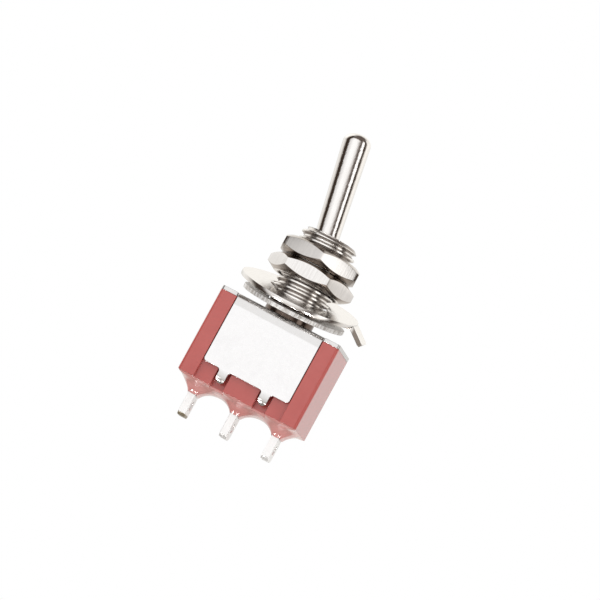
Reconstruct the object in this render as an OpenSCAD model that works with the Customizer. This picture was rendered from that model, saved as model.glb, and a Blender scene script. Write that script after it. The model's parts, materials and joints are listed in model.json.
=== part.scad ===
// Miniature panel-mount toggle switch, single pole, two positions.
// +Z runs up the threaded bushing. The origin is on the bushing's axis, on the top face of the bracket.
// X runs along the row of terminals, and the lever swings in the XZ plane.

/* [Case] */
// Length of the case along the terminal row
case_l = 13.2; // [12.6:0.1:16]
// Depth of the case from front to back
case_d = 7.9; // [7.7:0.1:9.5]
// Height of the case from its rim to its bottom face
case_h = 8.9; // [8.7:0.05:12]
// Radius of the case's upright corners
case_corner_r = 0.35; // [0.1:0.05:0.8]
// Depth of the panel in the front and back faces that takes the bracket's flaps
recess_depth = 0.5; // [0.48:0.01:0.6]
// Wall between that panel and the cavity
side_wall = 0.95; // [0.6:0.05:1.1]
// Wall at each end of the cavity
end_wall = 1.2; // [0.8:0.05:1.5]
// Width of the slot in the case behind each tab
notch_w = 1.44; // [1.2:0.02:1.7]
// How far that slot cuts into the case from the panel
notch_depth = 0.85; // [0.75:0.05:0.95]

/* [Bracket] */
// Thickness of the bracket's sheet
sheet_t = 0.4; // [0.3:0.02:0.46]
// Width of each flap
flap_w = 9.5; // [8:0.05:10]
// How far each flap reaches below the bracket's top face
flap_drop = 7.43; // [6.9:0.01:7.8]
// Outer radius of the bend between top and flap
bend_r = 0.6; // [0.55:0.05:1]
// Radius of each lower corner of a flap
flap_corner_r = 0.35; // [0.1:0.05:0.6]
// Width of the relief notch at each end of a bend
relief_w = 0.14; // [0.08:0.02:0.2]
// Gap between a flap and the case, behind it and at each side
flap_gap = 0.08; // [0.05:0.01:0.12]
// How far each notch in the case starts above the end of its flap
notch_gap = 0.1; // [0.05:0.05:0.3]
// Width of each tab under a flap
tab_w = 0.98; // [0.8:0.02:1.1]
// Radius of the fillet between a flap and its tab
tab_fillet = 0.3; // [0.1:0.02:0.32]
// Straight part of a tab before its curl
tab_drop = 0.5; // [0.35:0.05:0.6]
// Radius of the curl on the tab's inner face
curl_r = 0.6; // [0.4:0.05:0.65]
// Angle that the tab is curled through
curl_angle = 52; // [40:1:55]
// Distance of each tab from the middle of the flap
tab_x = 2.35; // [2:0.05:3]

/* [Bushing] */
// Outer diameter of the thread
thread_d = 6; // [6:0.05:6.4]
// Depth of the thread
thread_depth = 0.42; // [0.3:0.02:0.46]
// Height of the bushing above the bracket
bushing_h = 9.3; // [9:0.1:10]
// Diameter of the bushing's end inside its chamfer
bushing_end_d = 4.5; // [4.5:0.05:5.4]
// Diameter of the plain shank under the thread
shank_d = 5.2; // [5.16:0.02:5.6]
// Height of that shank
shank_h = 2.1; // [1.6:0.05:2.2]
// Diameter of the spigot through the bracket
spigot_d = 4.8; // [4.76:0.02:5]
// Diameter of the staked rim under the bracket
stake_d = 5.2; // [5.1:0.05:5.4]
// Height of the staked rim
stake_h = 0.32; // [0.2:0.02:0.4]
// How far the ball's bore reaches above the pivot
ball_bore_rise = 1.3; // [1:0.05:1.6]
// Gap round the staked rim in the top of the case
stake_gap = 0.15; // [0.1:0.01:0.2]
// Width of the keyway in the thread
keyway_w = 1; // [0.9:0.05:1.2]
// Depth of the keyway
keyway_depth = 0.5; // [0.4:0.02:0.6]

/* [Lever] */
// Height of the lever's pivot above the bracket
pivot_h = 6.5; // [6.3:0.05:6.7]
// Lean of the lever from upright at each end of its throw
lean = 11; // [8:0.5:11.5]
// Length of the bat from the pivot to its tip
bat_l = 13.6; // [11:0.1:16]
// Diameter of the bat's taper at the pivot
neck_d = 2.36; // [2:0.02:2.4]
// Diameter of the bat where its dome starts
bat_d = 2.86; // [2.5:0.02:3.2]
// Height of the domed end
dome_h = 1; // [0.7:0.05:1.4]
// Diameter of the ball at the pivot
ball_d = 3.5; // [3.4:0.05:3.7]
// Gap between the ball and the bore around it
ball_play = 0.1; // [0.05:0.01:0.15]
// Gap between the lever and the bore at the ends of the throw
swing_play = 0.08; // [0.05:0.01:0.1]
// Diameter of the stem below the ball
stem_d = 1.9; // [1.8:0.02:2]
// Length of the stem from the pivot to its lower end
stem_l = 5.2; // [4.6:0.1:5.4]
// Diameter of the pivot pin
pin_d = 0.8; // [0.6:0.02:1]
// Gap round the pin in the lever
pin_fit = 0.03; // [0.02:0.01:0.05]
// Gap round a part that is pressed or moulded in place
seat_fit = 0.01; // [0.01:0.01:0.03]

/* [Contacts] */
// Distance from the pivot to the middle of the plunger's round tip
plunger_reach = 10.5; // [10.3:0.1:11]
// Diameter of the plunger
plunger_d = 1.1; // [1:0.02:1.16]
// Length of the plunger above the middle of its tip
plunger_l = 6.9; // [6.4:0.1:7.3]
// Gap round the plunger in the stem
plunger_fit = 0.05; // [0.03:0.01:0.08]
// Depth of the stem's blind hole
guide_depth = 3.2; // [3:0.05:3.3]
// Wire diameter of the plunger's spring
spring_wire = 0.16; // [0.1:0.01:0.2]
// Number of turns in the spring
spring_turns = 6; // [4:1:7]
// Tilt of the rocker at each end of the throw
rocker_tilt = 8; // [7:0.5:9]
// How far the bead's middle stands above the strip's underside
bead_sink = 0.1; // [0.08:0.01:0.12]
// Thickness of the rocker's strip
rocker_t = 0.35; // [0.25:0.01:0.4]
// Width of the rocker across the case
rocker_w = 3; // [2.2:0.1:3.6]
// Half the length of the rocker's bowl
bowl_x = 2.2; // [2.1:0.05:2.4]
// Distance from the rocker's middle to each of its ends
wing_x = 4.15; // [4.1:0.05:4.3]
// Radius of the rocker's fulcrum bead
bead_r = 0.5; // [0.4:0.02:0.55]
// Gap between the tip and the rocker, and between the bead and its cradle
rocker_play = 0.05; // [0.03:0.01:0.08]
// Metal left under the bead in the cradle
cradle_web = 0.6; // [0.5:0.05:0.8]
// Length of the cradle along the terminal row
cradle_l = 1.9; // [1.7:0.05:2]
// How far the cradle's cheeks stop below the bead's middle
cradle_drop = 0.22; // [0.2:0.01:0.3]
// How far a contact's rim stands past the rocker's end
contact_overhang = 0.15; // [0.1:0.01:0.2]
// Diameter of each silver contact
contact_d = 1.5; // [1.2:0.05:1.7]
// Height of each contact's dome
contact_dome = 0.15; // [0.1:0.01:0.2]
// Gap between a closed contact and the rocker
contact_gap = 0.03; // [0.02:0.01:0.05]

/* [Terminals] */
// Distance between the terminals
pitch = 4.7; // [4.5:0.05:4.9]
// Thickness of a terminal
lug_t = 0.8; // [0.6:0.05:0.9]
// Width of a terminal
lug_w = 2; // [1.6:0.05:2.2]
// Length of a terminal below the case
lug_l = 3.75; // [3.5:0.05:8]
// Corner cut at a terminal's tip
lug_chamfer = 0.3; // [0.1:0.05:0.5]
// Diameter of the wire hole
wire_hole_d = 1; // [0.8:0.05:1.1]
// Distance from the terminal's tip to the middle of the hole
wire_hole_up = 1.25; // [1.1:0.05:1.5]
// Thickness of the leg that carries a contact
leg_t = 0.65; // [0.5:0.05:0.7]
// Metal past the contact at the leg's end
leg_margin = 0.05; // [0.02:0.01:0.1]
// How far the seal climbs each terminal
seal_rise = 1.25; // [0.8:0.05:1.4]
// Thickness of the seal midway between terminals
seal_t = 0.14; // [0.1:0.02:0.2]
// Hollowness of the seal's slope out to its rim, 1 for a straight slope
rim_curve = 1.25; // [1:0.05:2]
// Hollowness of the seal's slopes between terminals
valley_curve = 1.8; // [1.2:0.05:2.6]
// Margin between the seal and the edge of the case
seal_margin = 0.06; // [0.02:0.01:0.1]

/* [Panel hardware] */
// Width of each nut across its flats
nut_af = 8.1; // [8:0.1:9]
// Thickness of each nut
nut_t = 1.86; // [1.7:0.02:1.88]
// Diameter of a nut's flat end face
nut_face_d = 7.34; // [7.2:0.02:7.6]
// Slope of a nut's chamfer
nut_chamfer_angle = 30; // [20:1:35]
// Depth of the countersink at each end of a nut's bore
nut_lead = 0.34; // [0.2:0.02:0.4]
// Gap between a nut's bore and the thread
nut_fit = 0.03; // [0.02:0.01:0.06]
// Height of the lower nut's middle
lower_nut_z = 4.95; // [4.94:0.01:4.97]
// Height of the upper nut's middle
upper_nut_z = 6.87; // [6.86:0.01:6.95]
// Turn of the lower nut
lower_nut_turn = 2; // [0:1:59]
// Turn of the upper nut
upper_nut_turn = 40.2; // [0:0.2:59]
// Diameter of the locking ring
ring_d = 12.6; // [12:0.1:12.8]
// Diameter of the locking ring's hole
ring_hole_d = 6.5; // [6.45:0.05:6.6]
// Thickness of the locking ring
ring_t = 0.45; // [0.35:0.01:0.46]
// Height of the locking ring's middle
ring_z = 2.72; // [2.7:0.01:2.74]
// Tilt of the locking ring as it hangs on the thread
ring_tilt = 15.2; // [14:0.1:15.4]
// Width of the locking ring's outer tab
ring_tab_w = 2.2; // [1.6:0.1:2.8]
// Length of that tab
ring_tab_l = 2.3; // [1.8:0.1:2.6]
// Angle that the tab is bent down
ring_tab_angle = 39; // [30:1:50]
// How far the ring's tab and key reach into its band
root_overlap = 0.25; // [0.2:0.05:0.3]
// Gap round the locking ring's inner key
key_fit = 0.1; // [0.08:0.01:0.15]
// Diameter of the lock washer
washer_d = 10.9; // [10.5:0.1:11.3]
// Width of the lock washer's plain band
washer_band = 1.1; // [0.9:0.05:1.3]
// Thickness of the lock washer
washer_t = 0.45; // [0.35:0.01:0.46]
// Height of the middle of the washer's underside
washer_z = 1.28; // [1.25:0.01:1.4]
// Tilt of the washer
washer_tilt = 11.6; // [10:0.1:11.8]
// Number of teeth in the washer
washer_teeth = 10; // [6:1:12]
// Width of each tooth
tooth_w = 1.25; // [0.9:0.05:1.4]
// Thickness of a tooth as a share of the washer's
tooth_ratio = 0.8; // [0.6:0.05:0.9]
// Twist of each tooth
tooth_twist = 8; // [4:1:9]
// Gap between the teeth and the thread
tooth_gap = 0.15; // [0.12:0.01:0.2]

/* [Hidden] */
$fn = 48;
cut = 0.1;
sliver = 0.01;

case_top = -sheet_t;
case_bottom = case_top - case_h;
panel_y = case_d / 2 - recess_depth;
cavity_l = case_l - 2 * end_wall;
cavity_d = 2 * (panel_y - side_wall);
flap_inner_y = panel_y + flap_gap;
flap_outer_y = flap_inner_y + sheet_t;
tab_end_z = -flap_drop - tab_drop;

ball_bore_r = ball_d / 2 + ball_play;
bat_top = bat_l - dome_h;
function bat_r(s) = (neck_d + (bat_d - neck_d) * s / bat_top) / 2;
mouth_reach = (bushing_h - pivot_h) * tan(lean) + bat_r((bushing_h - pivot_h) / cos(lean)) / cos(lean);
mouth_r = mouth_reach + swing_play;
bushing_foot = -sheet_t - stake_h;
stem_reach = stem_l * sin(lean) + stem_d / 2 * cos(lean);
plunger_swing = (pivot_h - bushing_foot) * tan(lean) + plunger_d / 2 / cos(lean);
foot_bore_r = max(stem_reach, plunger_swing) + swing_play;
stem_foot_z = pivot_h - stem_l * cos(lean) - stem_d / 2 * sin(lean);
ball_zone = ball_d / 2;
pin_l = thread_d - 2 * thread_depth - 2 * seat_fit;
keyway_floor_r = thread_d / 2 - keyway_depth;
thread_lead = (thread_d - shank_d) / 2;
thread_z = shank_h + thread_lead;

// The rocker's bowl follows the path of the plunger's tip, seen from the rocker as both of them swing.
tip_r = plunger_d / 2;
bowl_top = rocker_t - bead_sink;
tip_rise = bowl_top + tip_r + rocker_play;
fulcrum_z = pivot_h - plunger_reach - tip_rise;
tip_end_x = plunger_reach * sin(lean);
tip_end_z = tip_rise + plunger_reach * (1 - cos(lean));
path_end_x = tip_end_x * cos(rocker_tilt) - tip_end_z * sin(rocker_tilt);
path_end_z = tip_end_x * sin(rocker_tilt) + tip_end_z * cos(rocker_tilt);
path_rise = path_end_z - tip_rise;
path_r = (path_end_x * path_end_x + path_rise * path_rise) / (2 * path_rise);
bowl_r = path_r + tip_r + rocker_play;
bowl_centre_z = tip_rise + path_r;
bowl_angle = asin(bowl_x / bowl_r);
wing_top = bowl_centre_z - bowl_r * cos(bowl_angle);
under_angle = acos((bowl_centre_z - wing_top + rocker_t) / (bowl_r + rocker_t));
cradle_floor_r = bead_r + rocker_play;
cavity_floor = fulcrum_z - cradle_floor_r - cradle_web;
cradle_top = fulcrum_z - cradle_drop;

// Where the closed end of the rocker comes down on its contact
wing_under = wing_top - rocker_t;
contact_arm = wing_x - contact_d / 2 + contact_overhang;
contact_x = contact_arm * cos(rocker_tilt) + wing_under * sin(rocker_tilt);
contact_top = fulcrum_z - contact_arm * sin(rocker_tilt) + wing_under * cos(rocker_tilt) - contact_gap;
leg_top = cavity_floor + leg_t;
contact_h = contact_top - leg_top;
contact_dome_r = (contact_d * contact_d / 4 + contact_dome * contact_dome) / (2 * contact_dome);
lug_tip = case_bottom - lug_l;

nut_corner_r = nut_af / 2 / cos(30);
nut_bore_r = thread_d / 2 + nut_fit;
tooth_tip_r = thread_d / 2 + tooth_gap;

case_colour = [0.72, 0.16, 0.14];
seal_colour = [0.62, 0.1, 0.09];
nickel = [0.8, 0.79, 0.76];
sheet_colour = [0.86, 0.86, 0.86];
brass = [0.78, 0.66, 0.4];
silver_colour = [0.9, 0.9, 0.88];
nylon = [0.93, 0.91, 0.84];
steel = [0.62, 0.62, 0.64];

module block(x, y, z) {
    translate([x[0], y[0], z[0]]) cube([x[1] - x[0], y[1] - y[0], z[1] - z[0]]);
}

module rounded_outline(l, d, r) {
    square([l - 2 * r, d], center = true);
    square([l, d - 2 * r], center = true);
    for (sx = [-1, 1], sy = [-1, 1])
        translate([sx * (l / 2 - r), sy * (d / 2 - r)]) circle(r = r);
}

// A profile drawn in x and z, drawn out along y
module extrude_y(w) {
    translate([0, w / 2, 0]) rotate([90, 0, 0]) linear_extrude(w) children();
}

// A profile drawn in y and z, drawn out along x
module extrude_x(w) {
    translate([-w / 2, 0, 0]) rotate([90, 0, 90]) linear_extrude(w) children();
}

// ---- Case and seal ----

module tab_slots(from_z, to_z) {
    for (side = [-1, 1], x = [-tab_x, tab_x])
        translate([x, side * (panel_y - notch_depth / 2 + cut / 2), (from_z + to_z) / 2])
            cube([notch_w, notch_depth + cut, to_z - from_z], center = true);
}

module lug_holes(from_z, to_z) {
    for (x = [-pitch, 0, pitch])
        block([x - lug_t / 2 - seat_fit, x + lug_t / 2 + seat_fit],
              [-lug_w / 2 - seat_fit, lug_w / 2 + seat_fit], [from_z, to_z]);
}

module case() {
    panel_w = flap_w + 2 * flap_gap;
    relief_r = stake_d / 2 + stake_gap;
    color(case_colour)
    difference() {
        translate([0, 0, case_bottom]) linear_extrude(case_h) rounded_outline(case_l, case_d, case_corner_r);
        for (side = [-1, 1])
            translate([0, side * (panel_y + recess_depth), case_bottom + case_h / 2])
                cube([panel_w, 2 * recess_depth, case_h + 2 * cut], center = true);
        block([-cavity_l / 2, cavity_l / 2], [-cavity_d / 2, cavity_d / 2], [cavity_floor, case_top + cut]);
        translate([0, 0, case_top - stake_h - stake_gap])
            cylinder(r = relief_r, h = stake_h + stake_gap + cut);
        lug_holes(case_bottom - cut, leg_top + cut);
        tab_slots(case_bottom - cut, notch_gap - flap_drop);
    }
}

// Height of the cured resin at a distance from a terminal, with span the distance to its edge
function climb(away, span, foot, curve) = foot + (seal_rise - foot) * pow(1 - away / span, curve);

module seal_profile(half, centres, lug_half, foot) {
    steps = 6;
    gap = len(centres) > 1 ? (centres[1] - centres[0]) / 2 - lug_half : 0;
    edge = half - centres[len(centres) - 1] - lug_half;
    rim = [
        for (i = [0 : steps])
            let(away = edge * (1 - i / steps)) [-half + edge * i / steps, climb(away, edge, 0, rim_curve)]
    ];
    valleys = [
        for (k = [0 : 1 : len(centres) - 2], i = [0 : 2 * steps])
            let(x = centres[k] + lug_half + gap * i / steps,
                away = gap * (i > steps ? 2 - i / steps : i / steps))
            [x, climb(away, gap, foot, valley_curve)]
    ];
    far_rim = [
        for (i = [steps : -1 : 0])
            [half - edge * i / steps, climb(edge * (1 - i / steps), edge, 0, rim_curve)]
    ];
    mirror([0, 1]) polygon(concat(rim, valleys, far_rim));
}

module terminal_seal() {
    half_l = case_l / 2 - seal_margin;
    half_d = panel_y - seal_margin;
    color(seal_colour)
    difference() {
        translate([0, 0, case_bottom])
            intersection() {
                extrude_y(2 * half_d) seal_profile(half_l, [-pitch, 0, pitch], lug_t / 2, seal_t);
                extrude_x(2 * half_l) seal_profile(half_d, [0], lug_w / 2, 0);
            }
        lug_holes(case_bottom - seal_rise - cut, case_bottom + cut);
        tab_slots(case_bottom - seal_rise - cut, case_bottom + cut);
    }
}

// ---- Bracket and bushing ----

// Section of the bent sheet from its middle to the tip of a tab
module flap_profile() {
    bend_y = flap_outer_y - bend_r;
    translate([0, -sheet_t]) square([bend_y, sheet_t]);
    translate([bend_y, -bend_r])
        intersection() {
            difference() {
                circle(r = bend_r);
                circle(r = bend_r - sheet_t);
            }
            square(bend_r + cut);
        }
    translate([flap_inner_y, tab_end_z]) square([sheet_t, -tab_end_z - bend_r]);
    translate([flap_inner_y - curl_r, tab_end_z]) curl_profile();
}

module curl_profile() {
    outer = curl_r + sheet_t;
    middle = curl_r + sheet_t / 2;
    reach = 2 * outer;
    intersection() {
        difference() {
            circle(r = outer);
            circle(r = curl_r);
        }
        polygon([[0, 0], [reach, 0], [reach, -reach], [reach * cos(curl_angle), -reach * sin(curl_angle)]]);
    }
    translate([middle * cos(curl_angle), -middle * sin(curl_angle)]) circle(d = sheet_t);
}

// Outline of a flap and its tabs, seen from the front
module flap_outline() {
    half = flap_w / 2;
    translate([-half, flap_corner_r - flap_drop]) square([flap_w, flap_drop]);
    translate([flap_corner_r - half, -flap_drop]) square([flap_w - 2 * flap_corner_r, flap_drop]);
    for (side = [-1, 1])
        translate([side * (half - flap_corner_r), flap_corner_r - flap_drop]) circle(r = flap_corner_r);
    for (x = [-tab_x, tab_x]) translate([x, -flap_drop]) tab_outline();
}

module tab_outline() {
    middle = curl_r + sheet_t / 2;
    tip = tab_drop + middle * sin(curl_angle) + sheet_t / 2;
    translate([-tab_w / 2, tab_w / 2 - tip]) square([tab_w, tip]);
    translate([0, tab_w / 2 - tip]) circle(d = tab_w);
    for (side = [-1, 1])
        translate([side * (tab_w + tab_fillet) / 2, -tab_fillet / 2])
            difference() {
                square(tab_fillet + sliver, center = true);
                translate([side * tab_fillet / 2, -tab_fillet / 2]) circle(r = tab_fillet);
            }
}

module bracket() {
    bend_zone = flap_w + 2 * relief_w;
    bend_y = flap_outer_y - bend_r;
    color(sheet_colour)
    difference() {
        union() {
            difference() {
                translate([0, 0, -sheet_t])
                    linear_extrude(sheet_t) rounded_outline(case_l, case_d, case_corner_r);
                for (side = [-1, 1])
                    translate([0, side * (bend_y + case_d / 2), -sheet_t / 2])
                        cube([bend_zone, case_d, 2 * sheet_t], center = true);
            }
            intersection() {
                extrude_x(flap_w) {
                    flap_profile();
                    mirror([1, 0]) flap_profile();
                }
                extrude_y(2 * case_d) flap_outline();
            }
        }
        translate([0, 0, -sheet_t - cut]) cylinder(d = spigot_d + 2 * seat_fit, h = sheet_t + 2 * cut);
    }
}

module bushing() {
    chamfer = (thread_d - bushing_end_d) / 2;
    color(nickel)
    difference() {
        union() {
            cylinder(d = shank_d, h = bushing_h - chamfer);
            translate([0, 0, shank_h]) cylinder(d1 = shank_d, d2 = thread_d, h = thread_lead);
            translate([0, 0, thread_z]) cylinder(d = thread_d, h = bushing_h - chamfer - thread_z);
            translate([0, 0, bushing_h - chamfer]) cylinder(d1 = thread_d, d2 = bushing_end_d, h = chamfer);
            translate([0, 0, -sheet_t - cut / 2]) cylinder(d = spigot_d, h = sheet_t + cut);
            translate([0, 0, bushing_foot]) cylinder(d1 = spigot_d, d2 = stake_d, h = stake_h);
        }
        translate([0, 0, bushing_foot - cut])
            cylinder(r = foot_bore_r, h = stem_foot_z - bushing_foot + cut);
        translate([0, 0, stem_foot_z])
            cylinder(r1 = foot_bore_r, r2 = ball_bore_r, h = pivot_h - ball_zone - stem_foot_z);
        translate([0, 0, pivot_h - ball_zone - cut / 2])
            cylinder(r = ball_bore_r, h = ball_zone + ball_bore_rise + cut / 2);
        translate([0, 0, pivot_h]) cylinder(r = mouth_r, h = bushing_h - pivot_h + cut);
        translate([0, 0, pivot_h]) rotate([90, 0, 0])
            cylinder(d = pin_d + 2 * seat_fit, h = 2 * thread_d, center = true);
        block([-thread_d, -keyway_floor_r], [-keyway_w / 2, keyway_w / 2], [shank_h, bushing_h + cut]);
    }
}

module pivot_pin() {
    color(steel)
    translate([0, 0, pivot_h]) rotate([90, 0, 0]) cylinder(d = pin_d, h = pin_l, center = true);
}

// ---- Lever and contacts ----

// Puts what is drawn on the lever's own axis, with its pivot at the origin, in its place at rest
module lean_over() {
    translate([0, 0, pivot_h]) rotate([0, -lean, 0]) children();
}

module lever() {
    dome_steps = 10;
    dome = [
        for (i = [0 : dome_steps])
            let(a = 90 * i / dome_steps) [bat_d / 2 * cos(a), bat_top + dome_h * sin(a)]
    ];
    guide_d = plunger_d + 2 * plunger_fit;
    color(nickel)
    lean_over()
    difference() {
        union() {
            sphere(d = ball_d);
            rotate_extrude() polygon(concat([[0, 0], [neck_d / 2, 0]], dome));
            translate([0, 0, -stem_l]) cylinder(d = stem_d, h = stem_l);
        }
        rotate([90, 0, 0]) cylinder(d = pin_d + 2 * pin_fit, h = 2 * ball_d, center = true);
        translate([0, 0, -stem_l - cut]) cylinder(d = guide_d, h = guide_depth + cut);
    }
}

module plunger() {
    color(nylon)
    lean_over()
    translate([0, 0, -plunger_reach]) {
        sphere(r = tip_r);
        cylinder(r = tip_r, h = plunger_l);
    }
}

module plunger_spring() {
    sides = 6;
    per_turn = 12;
    rings = spring_turns * per_turn;
    coil_r = plunger_d / 2 - spring_wire / 2;
    space = 0.02;
    low = -plunger_reach + plunger_l + spring_wire / 2 + space;
    high = -stem_l + guide_depth - spring_wire / 2 - space;
    points = [
        for (i = [0 : rings], k = [0 : sides - 1])
            let(turn = 360 * i / per_turn, round = 360 * k / sides,
                r = coil_r + spring_wire / 2 * cos(round))
            [r * cos(turn), r * sin(turn), low + (high - low) * i / rings + spring_wire / 2 * sin(round)]
    ];
    walls = [
        for (i = [0 : rings - 1], k = [0 : sides - 1])
            let(a = i * sides, next = (k + 1) % sides) [a + k, a + next, a + sides + next, a + sides + k]
    ];
    first = [for (k = [sides - 1 : -1 : 0]) k];
    last = [for (k = [0 : sides - 1]) rings * sides + k];
    color(steel)
    lean_over() polyhedron(points = points, faces = concat(walls, [first, last]));
}

module rocker_profile() {
    steps = 8;
    top = [
        for (i = [-steps : steps])
            let(a = bowl_angle * i / steps) [bowl_r * sin(a), bowl_centre_z - bowl_r * cos(a)]
    ];
    under = [
        for (i = [steps : -1 : -steps])
            let(a = under_angle * i / steps)
            [(bowl_r + rocker_t) * sin(a), bowl_centre_z - (bowl_r + rocker_t) * cos(a)]
    ];
    polygon(concat(
        [[-wing_x, wing_under], [-wing_x, wing_top]], top,
        [[wing_x, wing_top], [wing_x, wing_under]], under
    ));
}

module rocker() {
    color(brass)
    translate([0, 0, fulcrum_z]) rotate([0, rocker_tilt, 0])
        union() {
            extrude_y(rocker_w) rocker_profile();
            intersection() {
                rotate([90, 0, 0]) cylinder(r = bead_r, h = rocker_w, center = true);
                block([-bead_r, bead_r], [-rocker_w / 2, rocker_w / 2], [-bead_r, bowl_top / 2]);
            }
        }
}

module lug_profile(top) {
    half = lug_w / 2;
    difference() {
        polygon([
            [-half, top], [-half, lug_tip + lug_chamfer], [-half + lug_chamfer, lug_tip],
            [half - lug_chamfer, lug_tip], [half, lug_tip + lug_chamfer], [half, top]
        ]);
        translate([0, lug_tip + wire_hole_up]) circle(d = wire_hole_d);
    }
}

// A side terminal's leg turns inward along the floor of the cavity, under its contact
module side_terminal(side) {
    inner = contact_x - contact_d / 2 - leg_margin;
    outer = pitch + lug_t / 2;
    color(silver_colour) {
        translate([side * pitch, 0, 0]) extrude_x(lug_t) lug_profile(leg_top);
        translate([side * (inner + outer) / 2, 0, cavity_floor + leg_t / 2])
            cube([outer - inner, lug_w, leg_t], center = true);
    }
}

module terminal_left() {
    side_terminal(-1);
}

module terminal_right() {
    side_terminal(1);
}

module terminal_centre() {
    color(silver_colour)
    difference() {
        union() {
            extrude_x(lug_t) lug_profile(cavity_floor + cradle_web);
            block([-cradle_l / 2, cradle_l / 2], [-rocker_w / 2, rocker_w / 2], [cavity_floor, cradle_top]);
        }
        translate([0, 0, fulcrum_z]) rotate([90, 0, 0])
            cylinder(r = cradle_floor_r, h = 2 * rocker_w, center = true);
    }
}

module side_contact(side) {
    color(silver_colour)
    translate([side * contact_x, 0, leg_top])
        intersection() {
            cylinder(d = contact_d, h = contact_h);
            translate([0, 0, contact_h - contact_dome_r]) sphere(r = contact_dome_r);
        }
}

module contact_left() {
    side_contact(-1);
}

module contact_right() {
    side_contact(1);
}

// ---- Panel hardware ----

module nut(height, turn) {
    half = nut_t / 2;
    drop = (nut_corner_r + cut - nut_face_d / 2) * tan(nut_chamfer_angle);
    color(nickel)
    translate([0, 0, height]) rotate([0, 0, turn])
    difference() {
        intersection() {
            cylinder(r = nut_corner_r, h = nut_t, center = true, $fn = 6);
            rotate_extrude()
                polygon([
                    [0, -half], [nut_face_d / 2, -half], [nut_corner_r + cut, -half + drop],
                    [nut_corner_r + cut, half - drop], [nut_face_d / 2, half], [0, half]
                ]);
        }
        cylinder(r = nut_bore_r, h = nut_t + 2 * cut, center = true);
        for (side = [0, 1])
            mirror([0, 0, side]) translate([0, 0, half - nut_lead])
                cylinder(r1 = nut_bore_r, r2 = nut_bore_r + nut_lead + cut, h = nut_lead + cut);
    }
}

module lower_nut() {
    nut(lower_nut_z, lower_nut_turn);
}

module upper_nut() {
    nut(upper_nut_z, upper_nut_turn);
}

module locking_ring() {
    key_w = keyway_w - 2 * key_fit;
    key_r = keyway_floor_r + key_fit;
    tab_root = ring_d / 2 - root_overlap;
    color(sheet_colour)
    translate([0, 0, ring_z]) rotate([ring_tilt, 0, 0]) {
        difference() {
            cylinder(d = ring_d, h = ring_t, center = true, $fn = 96);
            cylinder(d = ring_hole_d, h = ring_t + 2 * cut, center = true);
        }
        block([-ring_hole_d / 2 - root_overlap, -key_r], [-key_w / 2, key_w / 2], [-ring_t / 2, ring_t / 2]);
        translate([tab_root, 0, ring_t / 2]) rotate([0, ring_tab_angle, 0])
            translate([0, -ring_tab_w / 2, -ring_t]) cube([ring_tab_l, ring_tab_w, ring_t]);
    }
}

module lock_washer() {
    band_r = washer_d / 2 - washer_band;
    tooth_l = band_r - tooth_tip_r + cut;
    color(nickel)
    translate([0, 0, washer_z]) rotate([washer_tilt, 0, 0])
    difference() {
        union() {
            difference() {
                cylinder(d = washer_d, h = washer_t, $fn = 96);
                translate([0, 0, -cut]) cylinder(r = band_r, h = washer_t + 2 * cut);
            }
            for (i = [0 : washer_teeth - 1])
                rotate([0, 0, 360 * i / washer_teeth])
                    translate([tooth_tip_r + tooth_l / 2, 0, washer_t / 2]) rotate([tooth_twist, 0, 0])
                        cube([tooth_l, tooth_w, washer_t * tooth_ratio], center = true);
        }
        translate([0, 0, -washer_t]) cylinder(r = tooth_tip_r, h = 3 * washer_t);
    }
}

case();
terminal_seal();
bracket();
bushing();
pivot_pin();
lever();
plunger();
plunger_spring();
rocker();
terminal_left();
terminal_centre();
terminal_right();
contact_left();
contact_right();
locking_ring();
lock_washer();
lower_nut();
upper_nut();
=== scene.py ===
import json
import math

import bmesh
import bpy
import numpy as np
from mathutils import Matrix, Vector


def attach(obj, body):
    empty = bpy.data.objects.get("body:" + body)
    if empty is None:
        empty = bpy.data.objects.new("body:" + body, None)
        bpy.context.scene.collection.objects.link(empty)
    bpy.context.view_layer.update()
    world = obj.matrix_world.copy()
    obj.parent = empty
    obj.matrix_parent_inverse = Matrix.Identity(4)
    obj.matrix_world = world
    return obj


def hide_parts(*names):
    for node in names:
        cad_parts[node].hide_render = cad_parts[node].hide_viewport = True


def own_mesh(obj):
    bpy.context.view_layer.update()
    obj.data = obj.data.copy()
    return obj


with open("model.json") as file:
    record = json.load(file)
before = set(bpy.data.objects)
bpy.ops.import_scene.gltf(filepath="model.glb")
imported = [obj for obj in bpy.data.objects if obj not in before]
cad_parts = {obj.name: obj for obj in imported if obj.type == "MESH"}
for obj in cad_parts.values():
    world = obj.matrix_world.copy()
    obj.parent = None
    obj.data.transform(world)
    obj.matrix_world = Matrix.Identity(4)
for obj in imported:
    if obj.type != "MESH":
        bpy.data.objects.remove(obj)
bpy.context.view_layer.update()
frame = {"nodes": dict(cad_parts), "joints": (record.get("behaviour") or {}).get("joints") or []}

# Pieces are measured in millimetres and degrees, and scaled to metres as they become objects. Noise sizes,
# bump depths and the studio are in metres from the start.
mm = 0.001
print("frame loaded")


def newObject(name, data):
    made = bpy.data.objects.new(name, data)
    bpy.context.scene.collection.objects.link(made)
    return made


# A piece that rides a body in place of a frame node; edges sharper than the angle stay crisp.
def makeObject(name, mesh, material, body, replaced, sharp=32, flatten=True):
    mesh.transform(Matrix.Scale(mm, 4))
    for polygon in mesh.polygons:
        polygon.use_smooth = True
    mesh.set_sharp_from_angle(angle=math.radians(sharp))
    piece = newObject(name, mesh)
    if flatten:
        flattenShading(piece)
    piece.data.materials.clear()
    piece.data.materials.append(material)
    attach(piece, body)
    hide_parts(replaced)
    return piece


# Large faces keep their own shading and only the narrow rounded edges blend.
def flattenShading(piece):
    modifier = piece.modifiers.new("flatten", "WEIGHTED_NORMAL")
    modifier.keep_sharp = True
    modifier.weight = 50
    shaded = appliedMesh(piece)
    shaded.name = piece.name
    piece.modifiers.clear()
    piece.data = shaded


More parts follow.
